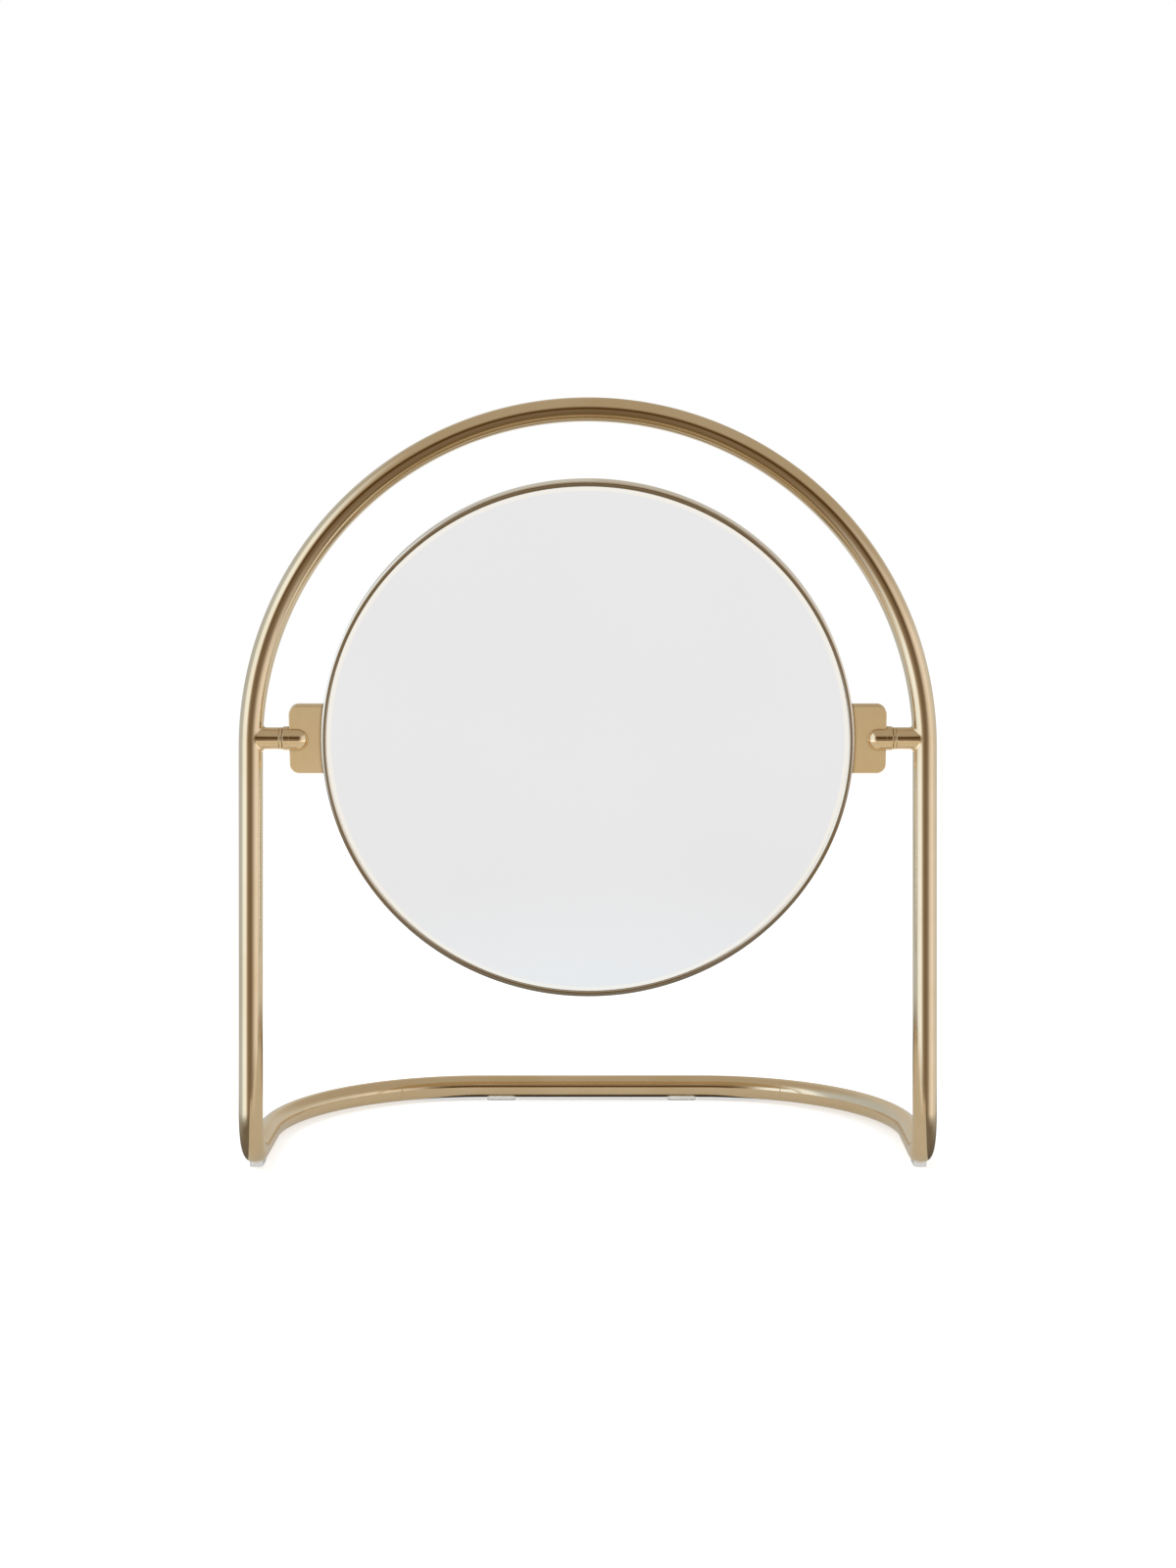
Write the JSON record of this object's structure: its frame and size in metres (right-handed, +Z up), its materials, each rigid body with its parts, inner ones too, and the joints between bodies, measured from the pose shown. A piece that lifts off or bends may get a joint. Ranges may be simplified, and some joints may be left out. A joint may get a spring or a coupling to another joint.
{
  "type": "table mirror",
  "caption": "Round framed mirror that turns on two pivots between the legs of a bent brass loop with an arch above and an open base behind.",
  "frame": {"origin": "on the table, under the middle of the whole object's box", "axes": "+X to the viewer's right along the pivots, +Y away from the viewer towards the rear bar, +Z up"},
  "size_m": [0.26, 0.1566, 0.29],
  "materials": {
    "brass_tube": "polished, lacquered",
    "brass_rod": "polished, lacquered",
    "brass_fittings": "polished, lacquered",
    "brass_satin": "satin",
    "brass_rim": "fine turned, lacquered",
    "mirror_silver": "silvered float glass",
    "board": "plain grey board",
    "cover_brass": "brass coloured, brushed",
    "spring_wire": "drawn wire",
    "pin_steel": "ground",
    "bush_nylon": "natural nylon",
    "pad_clear": "clear soft plastic"
  },
  "bodies": {
    "stand": {"arch_tube": "brass_tube", "base_rod": "brass_rod", "pivot_stub_left": "brass_fittings", "pivot_stub_right": "brass_fittings", "pivot_washer_left": "brass_satin", "pivot_washer_right": "brass_satin", "pivot_pin_left": "pin_steel", "pivot_pin_right": "pin_steel", "foot_pad_front_left": "pad_clear", "foot_pad_front_right": "pad_clear", "foot_pad_rear_left": "pad_clear", "foot_pad_rear_right": "pad_clear"},
    "mirror_head": {"rim": "brass_rim", "mirror_glass": "mirror_silver", "backing_board": "board", "rear_cover": "cover_brass", "retaining_ring": "spring_wire", "tab_left": "brass_satin", "tab_right": "brass_satin", "pivot_barrel_left": "brass_fittings", "pivot_barrel_right": "brass_fittings", "pivot_bush_left": "bush_nylon", "pivot_bush_right": "bush_nylon"}
  },
  "joints": [
    {"name": "mirror_tilt", "type": "hinge", "parent": "stand", "child": "mirror_head", "pos_m": [0, -0.05625, 0.163], "axis": [1, 0, 0], "continuous": true}
  ]
}
